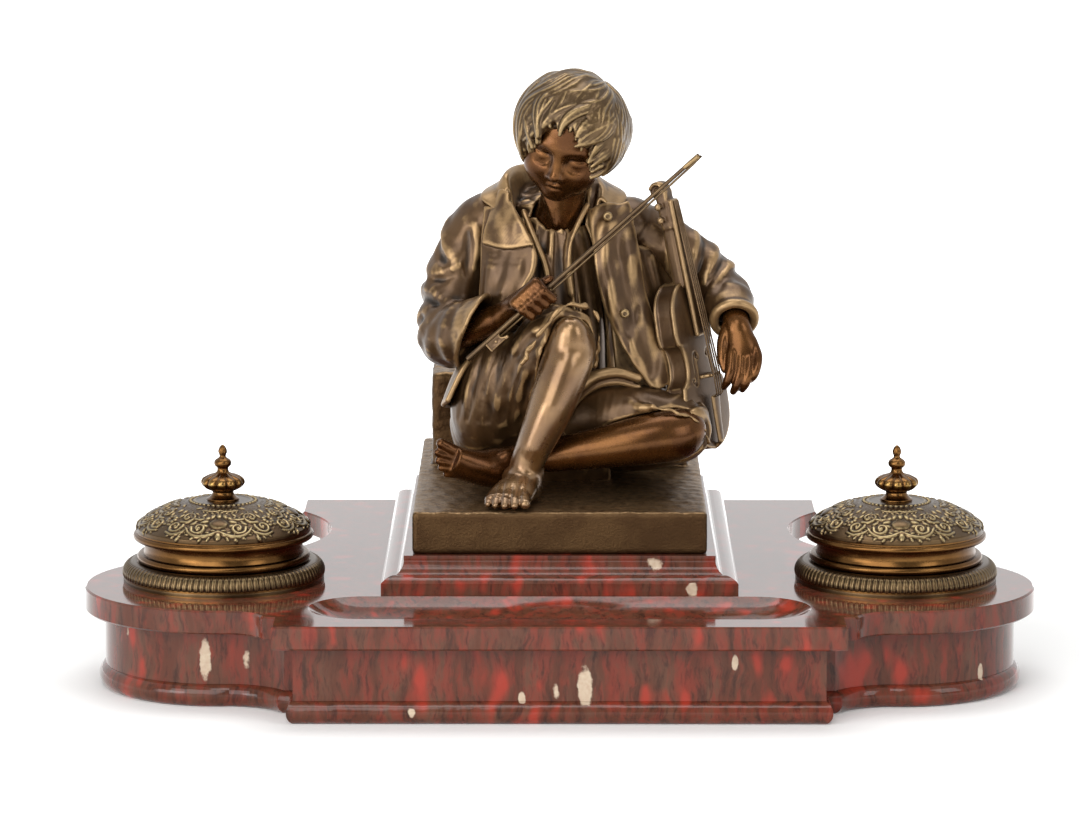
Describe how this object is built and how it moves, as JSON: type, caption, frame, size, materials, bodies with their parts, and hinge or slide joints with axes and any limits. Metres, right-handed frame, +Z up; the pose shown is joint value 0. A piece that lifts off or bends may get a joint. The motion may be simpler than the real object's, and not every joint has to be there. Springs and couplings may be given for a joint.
{
  "type": "inkstand",
  "caption": "Red marble inkstand with a pen trough, two hinged domed bronze inkwells on round wings and a seated bronze figure of a child with a fiddle and bow.",
  "frame": {"origin": "on the desk, below the middle of the stand", "axes": "+X to the right of someone seated at the desk, +Y away from them, +Z up"},
  "size_m": [0.4398, 0.308, 0.2825],
  "materials": {
    "marble": "polished, mottled red and brown with white spots",
    "terrace_bronze": "dark brown patina",
    "figure_bronze": "brown patina, polished on the skin",
    "gilt_bronze": "aged gilt with dark recesses",
    "liner_glass": "clear",
    "steel": "plain"
  },
  "bodies": {
    "stand": {"base_course": "marble", "body_course": "marble", "top_slab": "marble", "plinth_step": "marble", "plinth_cap": "marble", "terrace": "terrace_bronze", "figure_head": "figure_bronze", "figure_right_leg": "figure_bronze", "figure_left_leg": "figure_bronze", "figure_torso": "figure_bronze", "figure_right_arm": "figure_bronze", "figure_left_arm": "figure_bronze", "right_jacket_front": "figure_bronze", "left_jacket_front": "figure_bronze", "fiddle_body": "figure_bronze", "fiddle_neck": "figure_bronze", "fiddle_fittings": "figure_bronze", "bow_stick": "figure_bronze", "bow_frog": "figure_bronze", "left_well_body": "gilt_bronze", "right_well_body": "gilt_bronze", "left_ink_liner": "liner_glass", "right_ink_liner": "liner_glass", "tie_rods": "steel", "tie_washers": "steel", "tie_nuts": "steel", "well_rods": "steel", "well_washers": "steel", "well_nuts": "steel", "left_hinge_pin": "steel", "right_hinge_pin": "steel"},
    "left_lid": {"left_lid": "gilt_bronze", "left_finial": "gilt_bronze", "left_finial_nut": "steel"},
    "right_lid": {"right_lid": "gilt_bronze", "right_finial": "gilt_bronze", "right_finial_nut": "steel"}
  },
  "joints": [
    {"name": "left_lid_hinge", "type": "hinge", "parent": "stand", "child": "left_lid", "pos_m": [-0.1565, -0.0036, 0.0659], "axis": [-1, 0, 0], "range_deg": [0, 105]},
    {"name": "right_lid_hinge", "type": "hinge", "parent": "stand", "child": "right_lid", "pos_m": [0.1565, -0.0036, 0.0659], "axis": [-1, 0, 0], "range_deg": [0, 105]}
  ]
}
